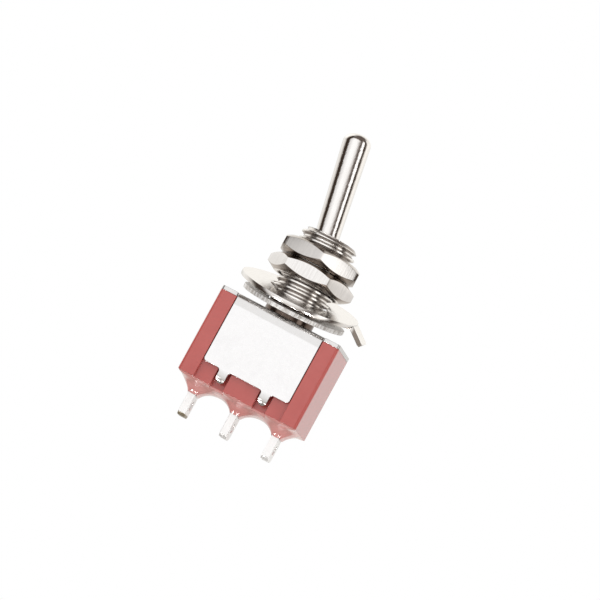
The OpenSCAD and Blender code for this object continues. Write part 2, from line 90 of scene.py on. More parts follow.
# An object's mesh with its modifiers applied
def appliedMesh(piece):
    return bpy.data.meshes.new_from_object(piece.evaluated_get(bpy.context.evaluated_depsgraph_get()))


def meshFromPoints(name, points, faces):
    mesh = bpy.data.meshes.new(name)
    mesh.from_pydata([tuple(point) for point in points], [], [tuple(face) for face in faces])
    mesh.validate()
    return mesh


def intoMesh(work, mesh):
    work.to_mesh(mesh)
    work.free()
    return mesh


def tidyMesh(mesh, gap=1e-5):
    work = bmesh.new()
    work.from_mesh(mesh)
    bmesh.ops.remove_doubles(work, verts=work.verts, dist=gap)
    bmesh.ops.dissolve_degenerate(work, edges=work.edges, dist=gap)
    bmesh.ops.recalc_face_normals(work, faces=work.faces)
    return intoMesh(work, mesh)


# A surface of rows that each go once round the axis; the first and last row are joined when it closes.
def ringGrid(name, rows, closeRows=True):
    rowCount, columnCount = rows.shape[:2]
    faces = []
    for i in range(rowCount if closeRows else rowCount - 1):
        below = i * columnCount
        above = ((i + 1) % rowCount) * columnCount
        for k in range(columnCount):
            after = (k + 1) % columnCount
            faces.append((below + k, below + after, above + after, above + k))
    return tidyMesh(meshFromPoints(name, rows.reshape(-1, 3), faces))


# Turns a closed (radius, height) outline into a solid of revolution; points on the axis close it.
def revolve(name, outline, segments):
    outline = np.array(outline, float)
    turn = np.linspace(0, 2 * math.pi, segments, endpoint=False)
    rows = np.zeros((len(outline), segments, 3))
    rows[:, :, 0] = outline[:, :1] * np.cos(turn)
    rows[:, :, 1] = outline[:, :1] * np.sin(turn)
    rows[:, :, 2] = outline[:, 1:]
    return ringGrid(name, rows)


# Cuts a list of meshes out of one mesh, or joins them to it.
def combine(mesh, others, operation="DIFFERENCE"):
    target = newObject("combined", mesh)
    tools = [newObject("tool", other) for other in others]
    for tool in tools:
        modifier = target.modifiers.new("combine", "BOOLEAN")
        modifier.object = tool
        modifier.operation = operation
        modifier.solver = "EXACT"
    result = appliedMesh(target)
    for unwanted in [target, *tools]:
        bpy.data.objects.remove(unwanted)
    return result


def boxMesh(low, high):
    size = Vector(high) - Vector(low)
    middle = (Vector(high) + Vector(low)) / 2
    work = bmesh.new()
    bmesh.ops.create_cube(work, size=1)
    stretch = Matrix.Translation(middle) @ Matrix.Diagonal((*size, 1))
    bmesh.ops.transform(work, matrix=stretch, verts=work.verts)
    return intoMesh(work, bpy.data.meshes.new("box"))


# A rod along Y through the middle
def crossRod(radius, length):
    work = bmesh.new()
    bmesh.ops.create_cone(work, cap_ends=True, segments=64, radius1=radius, radius2=radius, depth=length)
    bmesh.ops.transform(work, matrix=Matrix.Rotation(math.pi / 2, 4, "X"), verts=work.verts)
    return intoMesh(work, bpy.data.meshes.new("rod"))


# A copy of a frame node's mesh, in millimetres
def nodeMesh(node, name):
    mesh = frame["nodes"][node].data.copy()
    mesh.name = name
    mesh.materials.clear()
    mesh.transform(Matrix.Scale(1 / mm, 4))
    return mesh


# Rounds the sharp edges over, after flat faces have been joined up.
def roundEdges(mesh, width, segments=2):
    weld, flatAngle, sharpAngle = 2e-4, math.radians(0.6), math.radians(25)
    work = bmesh.new()
    work.from_mesh(mesh)
    bmesh.ops.remove_doubles(work, verts=work.verts, dist=weld)
    bmesh.ops.dissolve_limit(work, angle_limit=flatAngle, verts=work.verts, edges=work.edges)
    creases = [edge for edge in work.edges if len(edge.link_faces) == 2]
    creases = [edge for edge in creases if edge.calc_face_angle() > sharpAngle]
    bmesh.ops.bevel(
        work, geom=creases, offset=width, segments=segments, profile=0.5,
        affect="EDGES", clamp_overlap=True, miter_outer="ARC",
    )
    bmesh.ops.recalc_face_normals(work, faces=work.faces)
    return intoMesh(work, mesh)


# A closed slab: an outline in x and y, drawn out between two heights.
def slab(outline, low, high):
    count = len(outline)
    points = [(x, y, low) for x, y in outline] + [(x, y, high) for x, y in outline]
    faces = [tuple(range(count - 1, -1, -1)), tuple(range(count, 2 * count))]
    faces += [(k, (k + 1) % count, count + (k + 1) % count, count + k) for k in range(count)]
    return meshFromPoints("slab", points, faces)


# One value in a node tree; arithmetic on it adds Math nodes.
class Wire:
    def __init__(self, graph, socket):
        self.graph = graph
        self.socket = socket

    def math(self, operation, first, second=0.0):
        return self.graph.add("ShaderNodeMath", {"operation": operation}, {0: first, 1: second})

    def __add__(self, other):
        return self.math("ADD", self, other)

    def __radd__(self, other):
        return self.math("ADD", other, self)

    def __sub__(self, other):
        return self.math("SUBTRACT", self, other)

    def __rsub__(self, other):
        return self.math("SUBTRACT", other, self)

    def __mul__(self, other):
        return self.math("MULTIPLY", self, other)

    def __rmul__(self, other):
        return self.math("MULTIPLY", other, self)

    def __truediv__(self, other):
        return self.math("DIVIDE", self, other)

    def __rtruediv__(self, other):
        return self.math("DIVIDE", other, self)

    def __pow__(self, other):
        return self.math("POWER", self, other)

    def __rpow__(self, other):
        return self.math("POWER", other, self)

    def __abs__(self):
        return self.math("ABSOLUTE", self)

    # Another output of the node that this value comes from
    def sibling(self, key):
        return Wire(self.graph, findSocket(self.socket.node.outputs, key))


# A node tree and the one way to add nodes to it
class Graph:
    def __init__(self, tree):
        self.tree = tree

    # Settings are set first, then each input gets a value or a link; gives back the chosen output.
    def add(self, kind, settings=None, inputs=None, output=0):
        node = self.tree.nodes.new(kind)
        for key, value in (settings or {}).items():
            if key == "stops":
                fillRamp(node.color_ramp, value)
            else:
                setattr(node, key, value)
        for key, value in (inputs or {}).items():
            socket = node.inputs[key] if isinstance(key, int) else findSocket(node.inputs, key)
            if isinstance(value, Wire):
                self.tree.links.new(value.socket, socket)
            else:
                socket.default_value = (*value, 1) if socket.type == "RGBA" else value
        if not node.outputs:
            return None
        chosen = node.outputs[output] if isinstance(output, int) else findSocket(node.outputs, output)
        return Wire(self, chosen)


def findSocket(sockets, key):
    for socket in sockets:
        if socket.identifier == key or (socket.name == key and socket.enabled):
            return socket
    raise KeyError(key)


def fillRamp(band, stops):
    while len(band.elements) > 1:
        band.elements.remove(band.elements[-1])
    for index, (position, level) in enumerate(stops):
        element = band.elements[0] if index == 0 else band.elements.new(position)
        element.position = position
        element.color = (*(level if isinstance(level, tuple) else grey(level)), 1)


def grey(level):
    return (level, level, level)


def mixColour(graph, factor, first, second, how="MIX"):
    return graph.add(
        "ShaderNodeMix", {"data_type": "RGBA", "blend_type": how},
        {"Factor_Float": factor, "A_Color": first, "B_Color": second}, "Result_Color",
    )


# Stops are pairs of a value and the grey level or colour that it gets, in the value's own units.
def ramp(graph, value, stops):
    low, high = stops[0][0], stops[-1][0]
    placed = [((at - low) / (high - low), level) for at, level in stops]
    return graph.add("ShaderNodeValToRGB", {"stops": placed}, {0: (value - low) / (high - low)})


# Where a pattern lies on the part; a scale under 1 draws it out along that axis.
def place(graph, scale=(1, 1, 1)):
    spot = graph.add("ShaderNodeTexCoord", output="Object")
    return graph.add("ShaderNodeMapping", {}, {"Vector": spot, "Scale": scale})


# Where a point lies on the part, in millimetres
def position(graph):
    spot = graph.add("ShaderNodeTexCoord", output="Object")
    x = graph.add("ShaderNodeSeparateXYZ", {}, {0: spot})
    return x / mm, x.sibling("Y") / mm, x.sibling("Z") / mm


def noise(graph, vector, scale, detail=3.0, roughness=0.5):
    return graph.add(
        "ShaderNodeTexNoise", {"noise_dimensions": "3D"},
        {"Vector": vector, "Scale": scale, "Detail": detail, "Roughness": roughness}, "Fac",
    )


def bump(graph, height, strength, distance):
    return graph.add(
        "ShaderNodeBump", {}, {"Height": height, "Strength": strength, "Distance": distance}, "Normal",
    )


def newMaterial(name, fixed):
    material = bpy.data.materials.new(name)
    material.use_nodes = True
    shader = next(node for node in material.node_tree.nodes if node.type == "BSDF_PRINCIPLED")
    for key, value in fixed.items():
        shader.inputs[key].default_value = value
    return material, Graph(material.node_tree), shader


def feed(graph, shader, wires):
    for key, wire in wires.items():
        graph.tree.links.new(wire.socket, shader.inputs[key])


# What a plated metal has where its own look says nothing else; a larger noise size is a finer pattern.
plainPlate = {
    "metallic": 1.0, "stainSize": 520, "stainDetail": 4, "stainFrom": 0.5, "stainTo": 0.8, "stainAmount": 0.3,
    "grain": (1, 1, 1), "grainSize": 2600, "grainDetail": 2, "noiseRoughness": 0.6, "roughSpread": 0.5,
    "bump": 0.1, "bumpDepth": 0.000004, "streak": 0, "streakFrom": 0.35, "streakTo": 0.6, "tints": [],
}


# Plated metal: a clear reflection broken by fine grain, with staining where the noise runs high.
def platedMetal(name, look):
    look = {**plainPlate, **look}
    material, graph, shader = newMaterial(name, {"Metallic": look["metallic"]})
    cloud = noise(graph, place(graph), look["stainSize"], look["stainDetail"], look["noiseRoughness"])
    grain = place(graph, look["grain"])
    fine = noise(graph, grain, look["grainSize"], look["grainDetail"], look["noiseRoughness"])
    stained = ramp(graph, cloud, [(look["stainFrom"], 0), (look["stainTo"], 1)]) * look["stainAmount"]
    colour = mixColour(graph, stained, look["colour"], look["stain"])
    if look["streak"]:
        streaks = ramp(graph, fine, [(look["streakFrom"], 1), (look["streakTo"], 0)]) * look["streak"]
        colour = mixColour(graph, streaks, colour, look["stain"])
    for tint in look["tints"]:
        colour = tint(graph, colour)
    feed(graph, shader, {
        "Base Color": colour,
        "Roughness": look["roughness"] * (fine * look["roughSpread"] + 1 - look["roughSpread"] / 2),
        "Normal": bump(graph, fine, look["bump"], look["bumpDepth"]),
    })
    return material


# Moulded or poured plastic: two colours blend in a soft cloud, under a clear coat where the look has one.
def plastic(name, look):
    material, graph, shader = newMaterial(name, look["fixed"])
    spot = place(graph)
    cloud = noise(graph, spot, *look["cloud"])
    wires = {
        "Base Color": mixColour(graph, cloud, *look["colours"]),
        "Roughness": look["roughness"] + cloud * look["roughSpread"],
    }
    if "coat" in look:
        wires["Coat Weight"] = look["coat"] + cloud * (1 - look["coat"])
        wires["Normal"] = bump(graph, noise(graph, spot, *look["grain"]), *look["bump"])
    feed(graph, shader, wires)
    return material


nut = {
    "acrossFlats": 8.1, "thickness": 1.86, "faceDiameter": 7.34, "chamferSlope": math.tan(math.radians(30)),
    "boreRadius": 3.03, "lead": 0.34, "edge": 0.035, "cornerBlend": 0.025, "cornerSpread": 1.0,
    "columnsPerSide": 24, "nearCorner": 0.6,
    "middles": {"lower": 4.95, "upper": 6.87}, "turns": {"lower": 2, "upper": 40.2},
    # The chamfer colour and its fade are painted shade.
    "shadeColour": (0.3, 0.25, 0.21), "shadeFade": [(0.025, 0.66), (0.04, 0)],
    "nickel": {
        "colour": (0.82, 0.8, 0.78), "stain": (0.6, 0.57, 0.55), "roughness": 0.14, "grain": (1, 1, 0.05),
        "grainSize": 8500, "bump": 0.3, "bumpDepth": 0.00001, "roughSpread": 0.9, "streak": 0.4,
    },
}


# Painted shade on a nut's chamfers: these lie on a cone about the nut's middle.
def chamferShade(middle):
    def tint(graph, colour):
        x, y, z = position(graph)
        outward = (x * x + y * y) ** 0.5 - nut["faceDiameter"] / 2
        inward = nut["thickness"] / 2 - abs(z - middle) - outward * nut["chamferSlope"]
        return mixColour(graph, ramp(graph, inward, nut["shadeFade"]), colour, nut["shadeColour"])
    return tint


# Each column is a section through the axis, with the hexagon's radius at that angle. Points beside a corner
# of the section lie at shares of the edge's width, which rounds the corner.
def nutMesh(name, middle, turn):
    half = nut["thickness"] / 2
    faceRadius = nut["faceDiameter"] / 2
    edge = nut["edge"]
    leadRadius = nut["boreRadius"] + nut["lead"]
    columns = []
    for corner in range(0, 360, 60):
        columns += [corner + 60 * k / nut["columnsPerSide"] for k in range(nut["columnsPerSide"])]
        columns += [corner - nut["nearCorner"], corner + nut["nearCorner"]]
    sections = []
    for degrees in sorted(column % 360 for column in columns):
        fromCorner = (degrees + 30) % 60 - 30
        hexRadius = nut["acrossFlats"] / 2 / math.cos(math.radians(30 - abs(fromCorner)))
        hexRadius -= nut["cornerBlend"] * math.exp(-(fromCorner / nut["cornerSpread"]) ** 2)
        rim = half - max(hexRadius - faceRadius, 0) * nut["chamferSlope"]
        upper = [
            (nut["boreRadius"], half - nut["lead"]), (leadRadius - edge, half - edge * 0.4),
            (leadRadius + edge, half), (faceRadius - edge, half),
            (faceRadius + edge * 0.7, half - edge * 0.7),
            (hexRadius - edge, rim + edge * 0.25), (hexRadius - edge * 0.2, rim - edge * 0.25),
            (hexRadius, rim - edge * 1.2),
        ]
        lower = [(radius, -z) for radius, z in reversed(upper)]
        cos, sin = math.cos(math.radians(degrees)), math.sin(math.radians(degrees))
        sections.append([(radius * cos, radius * sin, z) for radius, z in upper + lower])
    mesh = ringGrid(name, np.array(sections).transpose(1, 0, 2))
    mesh.transform(Matrix.Translation((0, 0, middle)) @ Matrix.Rotation(math.radians(turn), 4, "Z"))
    return mesh


for which, middle in nut["middles"].items():
    name, node = which + "Nut", which + "_nut"
    nickel = platedMetal(name + "Nickel", {**nut["nickel"], "tints": [chamferShade(middle)]})
    mesh = nutMesh(name, middle, nut["turns"][which])
    makeObject(name, mesh, nickel, node + "_body", node, sharp=20)
print("nuts made")


bushing = {
    "major": 3.0, "depth": 0.42, "pitch": 0.75, "crestShare": 0.2, "rootShare": 0.22, "flankCurve": 0.4,
    "threadFrom": 1.5, "crestAt": 1.595, "runOut": 0.5, "top": 9.3, "endSlope": 1.0, "endRadius": 2.62,
    "shankRadius": 2.6, "spigotRadius": 2.4, "stakeRadius": 2.6, "stakeEdge": 0.05, "stakeTaper": 0.02,
    "sheet": 0.4, "foot": -0.72, "footBore": 2.05, "stemFoot": 1.21, "pivot": 6.5, "pinRadius": 0.41,
    "ballBore": 1.85, "ballUnder": 1.75, "ballOver": 1.2, "mouth": 1.884, "mouthOver": 1.3,
    "mouthChamfer": 0.1, "keyHalf": 0.5, "keyFloor": 2.5, "keyUnder": 0.02,
    "columns": 120, "rowsPerTurn": 22,
    # Painted shade colour and levels: on the flanks by radius, and on the shank by height.
    "shadeColour": (0.13, 0.09, 0.07), "flankShade": [(2.586, 0.1), (2.628, 0.75), (2.892, 0.7), (2.958, 0)],
    "shankShade": [(1.3, 0.95), (1.6, 0)],
    "nickel": {
        "colour": (0.98, 0.955, 0.92), "stain": (0.6, 0.52, 0.45), "roughness": 0.15, "stainAmount": 0.25,
        "metallic": 0.88,
    },
}


# Painted shade on the thread's flanks, between its bright crests and roots, and on the shank under it
def threadShade(graph, colour):
    x, y, z = position(graph)
    flank = ramp(graph, (x * x + y * y) ** 0.5, bushing["flankShade"])
    shank = ramp(graph, z, bushing["shankShade"])
    return mixColour(graph, flank * (1 - shank) + shank, colour, bushing["shadeColour"])


# Radius of the thread at a phase of one turn, 0 at the middle of the crest
def threadRadius(phase, height):
    away = abs((phase + 0.5) % 1 - 0.5) * 2
    slope = (away - bushing["crestShare"]) / (1 - bushing["crestShare"] - bushing["rootShare"])
    slope = min(max(slope, 0), 1)
    curve = bushing["flankCurve"]
    sunk = (1 - curve) * slope + curve * slope * slope * (3 - 2 * slope)
    radius = bushing["major"] - bushing["depth"] * sunk
    starting = min(max((height - bushing["threadFrom"]) / bushing["runOut"], 0), 1)
    radius = bushing["shankRadius"] + (radius - bushing["shankRadius"]) * starting
    return min(radius, bushing["endRadius"] + (bushing["top"] - height) * bushing["endSlope"])


# Everything of the bushing that isn't thread, from the top's rim down the bore and up round the foot
def bushingProfile():
    top, foot, pivot, under = bushing["top"], bushing["foot"], bushing["pivot"], -bushing["sheet"]
    mouth, chamfer = bushing["mouth"], bushing["mouthChamfer"]
    stake, edge = bushing["stakeRadius"], bushing["stakeEdge"]
    return [
        (bushing["endRadius"], top), (mouth + chamfer, top), (mouth, top - chamfer),
        (mouth, pivot + bushing["mouthOver"]), (bushing["ballBore"], pivot + bushing["ballOver"]),
        (bushing["ballBore"], pivot - bushing["ballUnder"]), (bushing["footBore"], bushing["stemFoot"]),
        (bushing["footBore"], foot), (stake - edge, foot), (stake, foot + edge),
        (stake - bushing["stakeTaper"], under), (bushing["spigotRadius"], under),
        (bushing["spigotRadius"], 0), (bushing["shankRadius"], 0),
        (bushing["shankRadius"], bushing["threadFrom"]),
    ]


# The thread is a sheet of rows that climb as they go round, so a row meets itself one turn higher.
def bushingMesh():
    columnCount, perTurn = bushing["columns"], bushing["rowsPerTurn"]
    turnsBelow = math.ceil((bushing["crestAt"] - bushing["threadFrom"]) / bushing["pitch"]) + 1
    turnsAbove = int((bushing["top"] - bushing["crestAt"]) / bushing["pitch"]) + 2
    rowCount = (turnsAbove + turnsBelow) * perTurn
    angles = np.linspace(0, 2 * math.pi, columnCount, endpoint=False)
    points, faces = [], []
    for i in range(rowCount + perTurn):
        for k, angle in enumerate(angles):
            raw = bushing["crestAt"] + (i / perTurn - turnsBelow + k / columnCount) * bushing["pitch"]
            height = min(max(raw, bushing["threadFrom"]), bushing["top"])
            radius = threadRadius(i / perTurn, height)
            if raw <= bushing["threadFrom"]:
                radius = bushing["shankRadius"]
            elif raw >= bushing["top"]:
                radius = bushing["endRadius"]
            points.append((radius * math.cos(angle), radius * math.sin(angle), height))
    for i in range(rowCount - 1):
        for k in range(columnCount):
            after = (i * columnCount + k + 1) if k < columnCount - 1 else (i + perTurn) * columnCount
            faces.append((i * columnCount + k, after, after + columnCount, (i + 1) * columnCount + k))

    profile = bushingProfile()
    first = len(points)
    for radius, height in profile:
        points.extend((radius * math.cos(angle), radius * math.sin(angle), height) for angle in angles)
    for i in range(len(profile) - 1):
        low, high = first + i * columnCount, first + (i + 1) * columnCount
        for k in range(columnCount):
            after = (k + 1) % columnCount
            faces.append((low + k, high + k, high + after, low + after))
    mesh = tidyMesh(meshFromPoints("bushingThread", points, faces))

    beyond = 1  # how far the cutters reach past the metal
    keyway = boxMesh(
        (-bushing["major"] - beyond, -bushing["keyHalf"], bushing["threadFrom"] - bushing["keyUnder"]),
        (-bushing["keyFloor"], bushing["keyHalf"], bushing["top"] + beyond),
    )
    pinHole = crossRod(bushing["pinRadius"], 2 * (bushing["major"] + beyond))
    pinHole.transform(Matrix.Translation((0, 0, bushing["pivot"])))
    return combine(mesh, [keyway, pinHole])


threadNickel = platedMetal("threadNickel", {**bushing["nickel"], "tints": [threadShade]})
makeObject("bushingThread", bushingMesh(), threadNickel, "switch_body", "bushing", sharp=40)
print("bushing made")


lever = {
    "lean": 11, "length": 13.6, "neck": 1.18, "neckFlare": 0.02, "tip": 1.43, "ball": 1.75,
    "dome": 1.0, "domeFullness": 0.9, "stem": 0.95, "stemLength": 5.2, "stemChamfer": 0.08,
    "guide": 0.6, "guideDepth": 3.2, "guideLead": 0.06, "pinHole": 0.43,
    "ballSteps": 32, "batSteps": 12, "domeSteps": 18, "segments": 112,
    "nickel": {
        "colour": (0.86, 0.84, 0.82), "stain": (0.68, 0.63, 0.59), "roughness": 0.09,
        "grainSize": 4800, "bump": 0.6, "bumpDepth": 0.00002,
    },
}


# The outline runs down the hollow stem, round the ball and up the bat to its domed end.
def leverMesh():
    guide, stem, chamfer, ball = lever["guide"], lever["stem"], lever["stemChamfer"], lever["ball"]
    foot = -lever["stemLength"]
    guideTop = foot + lever["guideDepth"]
    batTop = lever["length"] - lever["dome"]
    outline = [
        (0, guideTop), (guide, guideTop), (guide, foot + chamfer), (guide + lever["guideLead"], foot),
        (stem - chamfer, foot), (stem, foot + chamfer),
    ]
    low = math.acos(stem / ball)
    high = math.acos((lever["neck"] + lever["neckFlare"]) / ball)
    for i in range(lever["ballSteps"] + 1):
        angle = -low + (low + high) * i / lever["ballSteps"]
        outline.append((ball * math.cos(angle), ball * math.sin(angle)))
    batFoot = ball * math.sin(high)
    for i in range(1, lever["batSteps"] + 1):
        z = batFoot + (batTop - batFoot) * i / lever["batSteps"]
        outline.append((lever["neck"] + (lever["tip"] - lever["neck"]) * z / batTop, z))
    for i in range(1, lever["domeSteps"]):
        angle = math.pi / 2 * i / lever["domeSteps"]
        radius = lever["tip"] * math.cos(angle) ** lever["domeFullness"]
        outline.append((radius, batTop + lever["dome"] * math.sin(angle)))
    outline.append((0, lever["length"]))
    mesh = revolve("bat", outline, lever["segments"])
    mesh = combine(mesh, [crossRod(lever["pinHole"], 4 * ball)])
    lean = Matrix.Rotation(math.radians(-lever["lean"]), 4, "Y")
    mesh.transform(Matrix.Translation((0, 0, bushing["pivot"])) @ lean)
    return mesh


leverNickel = platedMetal("leverNickel", lever["nickel"])
makeObject(
    "batLever", leverMesh(), leverNickel, "lever_body", "lever", sharp=30, flatten=False,
)
print("lever made")


case = {
    "edge": 0.07,
    "red": {
        "fixed": {"IOR": 1.5, "Coat Roughness": 0.12}, "cloud": (420, 5, 0.6), "grain": (3200, 3, 0.6),
        "colours": ((0.44, 0.058, 0.048), (0.53, 0.095, 0.08)), "roughness": 0.27, "roughSpread": 0.1,
        "coat": 0.75, "bump": (0.15, 0.00001),
    },
}
redPlastic = plastic("casePlastic", case["red"])
makeObject(
    "caseShell", roundEdges(nodeMesh("case", "caseShell"), case["edge"]), redPlastic,
    "switch_body", "case",
)


bracket = {
    "edge": 0.1, "edgeSteps": 3, "pressedGreyAndShade": (0.6, 0.585, 0.57), "wobble": 0.12, "wobbleSize": 900,
    "pressed": [(-1.2, 0), (-1.06, 0.5)],
    # Painted shade on the curled tabs, by height.
    "curl": [(-8.02, 0.75), (-7.696, 0.45), (-7.456, 0.12), (-7.36, 0)],
    "tin": {
        "colour": (0.87, 0.86, 0.86), "stain": (0.76, 0.74, 0.75), "roughness": 0.27, "stainAmount": 0.5,
        "stainSize": 260, "bump": 0.02,
    },
}


# A faint step across the flaps where the sheet was pressed flat under the bend, and painted shade down the
# curled tabs; both levels follow the height.
def pressedStripAndTabShade(graph, colour):
    height = position(graph)[2] + noise(graph, place(graph), bracket["wobbleSize"], 2) * bracket["wobble"]
    pressedAndShaded = ramp(graph, height, bracket["pressed"]) + ramp(graph, height, bracket["curl"])
    return mixColour(graph, pressedAndShaded, colour, bracket["pressedGreyAndShade"])


bracketTin = platedMetal("bracketTin", {**bracket["tin"], "tints": [pressedStripAndTabShade]})
makeObject(
    "bracketSheet", roundEdges(nodeMesh("bracket", "bracketSheet"), bracket["edge"], bracket["edgeSteps"]),
    bracketTin, "switch_body", "bracket",
)


lug = {
    "edge": 0.06, "brass": (0.32, 0.27, 0.19), "brassFade": [(-12.78, 1), (-12.75, 0)],
    "silver": {
        "colour": (0.96, 0.955, 0.945), "stain": (0.86, 0.84, 0.81), "roughness": 0.34, "stainAmount": 0.25,
        "metallic": 0.6, "bump": 0.02,
    },
}


# Bare brass on the sheared end of a terminal
def shearedTip(graph, colour):
    end = ramp(graph, position(graph)[2], lug["brassFade"])
    return mixColour(graph, end, colour, lug["brass"])


lugSilver = platedMetal("lugSilver", lug["silver"])
lugSheared = platedMetal("lugSheared", {**lug["silver"], "tints": [shearedTip]})
for side, metal in {"left": lugSheared, "centre": lugSilver, "right": lugSilver}.items():
    name, node = "lug" + side.capitalize(), "terminal_" + side
    mesh = roundEdges(nodeMesh(node, name), lug["edge"])
    makeObject(name, mesh, metal, "switch_body", node)
print("case, bracket and terminals made")


seal = {
    "half": (6.595, 3.445), "top": -9.2, "pitch": 4.7, "lug": (0.41, 1.01), "rises": (1.35, 1.26, 1.32),
    "slotHalf": 0.72, "slotFrom": 2.6, "reach": 1.08, "step": 0.09, "rounds": 1600,
    "lip": 0.1, "thickness": 0.16, "fade": 0.3,
    "resin": {
        "fixed": {"IOR": 1.52, "Coat Roughness": 0.03}, "cloud": (260, 4, 0.5), "grain": (700, 2, 0.5),
        "colours": ((0.58, 0.17, 0.15), (0.78, 0.4, 0.375)), "roughness": 0.1, "roughSpread": 0.08,
        "coat": 0.8, "bump": (0.6, 0.00025),
    },
}
sealLugs = [-seal["pitch"], 0, seal["pitch"]]
sealSlots = [-seal["pitch"] / 2, seal["pitch"] / 2]


# Values between the given breaks, no further apart than the step
def spaced(breaks, step):
    values = []
    for low, high in zip(breaks, breaks[1:]):
        count = max(1, math.ceil((high - low) / step))
        values += [low + (high - low) * i / count for i in range(count)]
    return np.array(values + [breaks[-1]])


# Which places a terminal fills, and which a slot; a small reach takes in their edges.
def onLug(x, y, middle, reach=0):
    halfX, halfY = seal["lug"]
    return (np.abs(x - middle) < halfX + reach) & (np.abs(y) < halfY + reach)


def inSlot(x, y, middle, reach=0):
    return (np.abs(x - middle) < seal["slotHalf"] + reach) & (np.abs(y) > seal["slotFrom"] - reach)


# The resin hangs between the terminals like a stretched skin: its height is relaxed over a grid.
def relaxedHeight(xs, ys, gridX, gridY):
    halfX, halfY = seal["half"]
    nearly = 1e-6
    height = np.zeros_like(gridX)
    fixed = (np.abs(gridX) > halfX - nearly) | (np.abs(gridY) > halfY - nearly)
    for middle in sealSlots:
        fixed |= inSlot(gridX, gridY, middle, nearly)
    for middle, rise in zip(sealLugs, seal["rises"]):
        risen = onLug(gridX, gridY, middle, nearly)
        height[risen] = rise
        fixed |= risen
    gapX, gapY = np.diff(xs)[:, None], np.diff(ys)[None, :]
    east, west = 1 / gapX[1:], 1 / gapX[:-1]
    north, south = 1 / gapY[:, 1:], 1 / gapY[:, :-1]
    spanX, spanY = (gapX[1:] + gapX[:-1]) / 2, (gapY[:, 1:] + gapY[:, :-1]) / 2
    total = (east + west) * spanY + (north + south) * spanX + spanX * spanY / seal["reach"] ** 2
    free = ~fixed[1:-1, 1:-1]
    for _ in range(seal["rounds"]):
        flow = (height[2:, 1:-1] * east + height[:-2, 1:-1] * west) * spanY
        flow = flow + (height[1:-1, 2:] * north + height[1:-1, :-2] * south) * spanX
        height[1:-1, 1:-1][free] = (flow / total)[free]
    inward = np.minimum(halfX - np.abs(gridX), halfY - np.abs(gridY))
    film = seal["lip"] + seal["thickness"] * (1 - np.exp(-inward / seal["fade"]))
    height[~fixed] += film[~fixed]
    return height


# A skin over a flat top, with walls wherever a cell of the grid has no neighbour
def sealMesh():
    halfX, halfY = seal["half"]
    lugX, lugY = seal["lug"]
    breaks = [x + side * lugX for x in sealLugs for side in (-1, 1)]
    breaks += [x + side * seal["slotHalf"] for x in sealSlots for side in (-1, 1)]
    xs = spaced(sorted([-halfX, *breaks, halfX]), seal["step"])
    ys = spaced([-halfY, -seal["slotFrom"], -lugY, lugY, seal["slotFrom"], halfY], seal["step"])
    gridX, gridY = np.meshgrid(xs, ys, indexing="ij")
    height = relaxedHeight(xs, ys, gridX, gridY)
    cellX, cellY = np.meshgrid((xs[1:] + xs[:-1]) / 2, (ys[1:] + ys[:-1]) / 2, indexing="ij")
    solid = np.ones_like(cellX, bool)
    for middle in sealLugs:
        solid &= ~onLug(cellX, cellY, middle)
    for middle in sealSlots:
        solid &= ~inSlot(cellX, cellY, middle)
    columnCount, count = len(ys), gridX.size
    points = np.concatenate([
        np.stack([gridX, gridY, seal["top"] - height], -1).reshape(-1, 3),
        np.stack([gridX, gridY, np.full_like(gridX, seal["top"])], -1).reshape(-1, 3),
    ])
    faces = []
    for i, k in np.argwhere(solid).tolist():
        near, far = i * columnCount + k, (i + 1) * columnCount + k
        corners = [near, far, far + 1, near + 1]
        faces += [tuple(corners[::-1]), tuple(corner + count for corner in corners)]
        for n, (besideX, besideY) in enumerate([(i, k - 1), (i + 1, k), (i, k + 1), (i - 1, k)]):
            inside = 0 <= besideX < len(xs) - 1 and 0 <= besideY < columnCount - 1
            if not (inside and solid[besideX, besideY]):
                first, second = corners[n], corners[(n + 1) % 4]
                faces.append((first, second, second + count, first + count))
    work = bmesh.new()
    work.from_mesh(meshFromPoints("resin", points, faces))
    bmesh.ops.delete(work, geom=[v for v in work.verts if not v.link_faces], context="VERTS")
    return tidyMesh(intoMesh(work, bpy.data.meshes.new("sealResin")), 1e-4)


redResin = plastic("sealResin", seal["resin"])
makeObject(
    "sealResin", sealMesh(), redResin, "switch_body", "terminal_seal", sharp=50, flatten=False,
)
print("seal made")


# A flat ring with its four rims rounded
def flatRing(name, inner, outer, thickness, edge):
    half = thickness / 2
    near = edge * 0.3  # how far the middle of a rounded rim stands back from its corner
    segments = 160
    return revolve(name, [
        (inner + edge, half), (outer - edge, half), (outer - near, half - near), (outer, half - edge),
        (outer, edge - half), (outer - near, near - half), (outer - edge, -half), (inner + edge, -half),
        (inner + near, near - half), (inner, edge - half), (inner, half - edge), (inner + near, half - near),
    ], segments)


def closeEnds(mesh):
    work = bmesh.new()
    work.from_mesh(mesh)
    bmesh.ops.holes_fill(work, edges=[edge for edge in work.edges if edge.is_boundary], sides=0)
    bmesh.ops.recalc_face_normals(work, faces=work.faces)
    return intoMesh(work, mesh)


# The ring and the washer hang askew on the thread.
def tilted(mesh, height, tilt):
    mesh.transform(Matrix.Translation((0, 0, height)) @ Matrix.Rotation(math.radians(tilt), 4, "X"))
    return mesh


ring = {
    "radius": 6.3, "hole": 3.25, "thickness": 0.45, "edge": 0.045, "height": 2.72, "tilt": 15.2,
    "tabWidth": 2.2, "tabLength": 2.3, "tabAngle": 39, "tabRoot": 6.05, "bend": 0.55, "bendBefore": 0.3,
    "tabOverlap": 0.6, "tabCorner": 0.3, "bendSteps": 10, "endSteps": 8,
    "keyHalf": 0.4, "keyTip": 2.6, "keyOverlap": 0.3, "keyInset": 0.03,
    # The tab's side colour, and where it starts, are painted shade.
    "sideShade": (0.2, 0.16, 0.13), "sideShadeFrom": [(-0.05, 0), (-0.02, 1)], "sideShadeOut": [(6.2, 0), (6.5, 0.9)],
    "plate": {"colour": (0.84, 0.82, 0.8), "stain": (0.68, 0.64, 0.58), "roughness": 0.2},
}
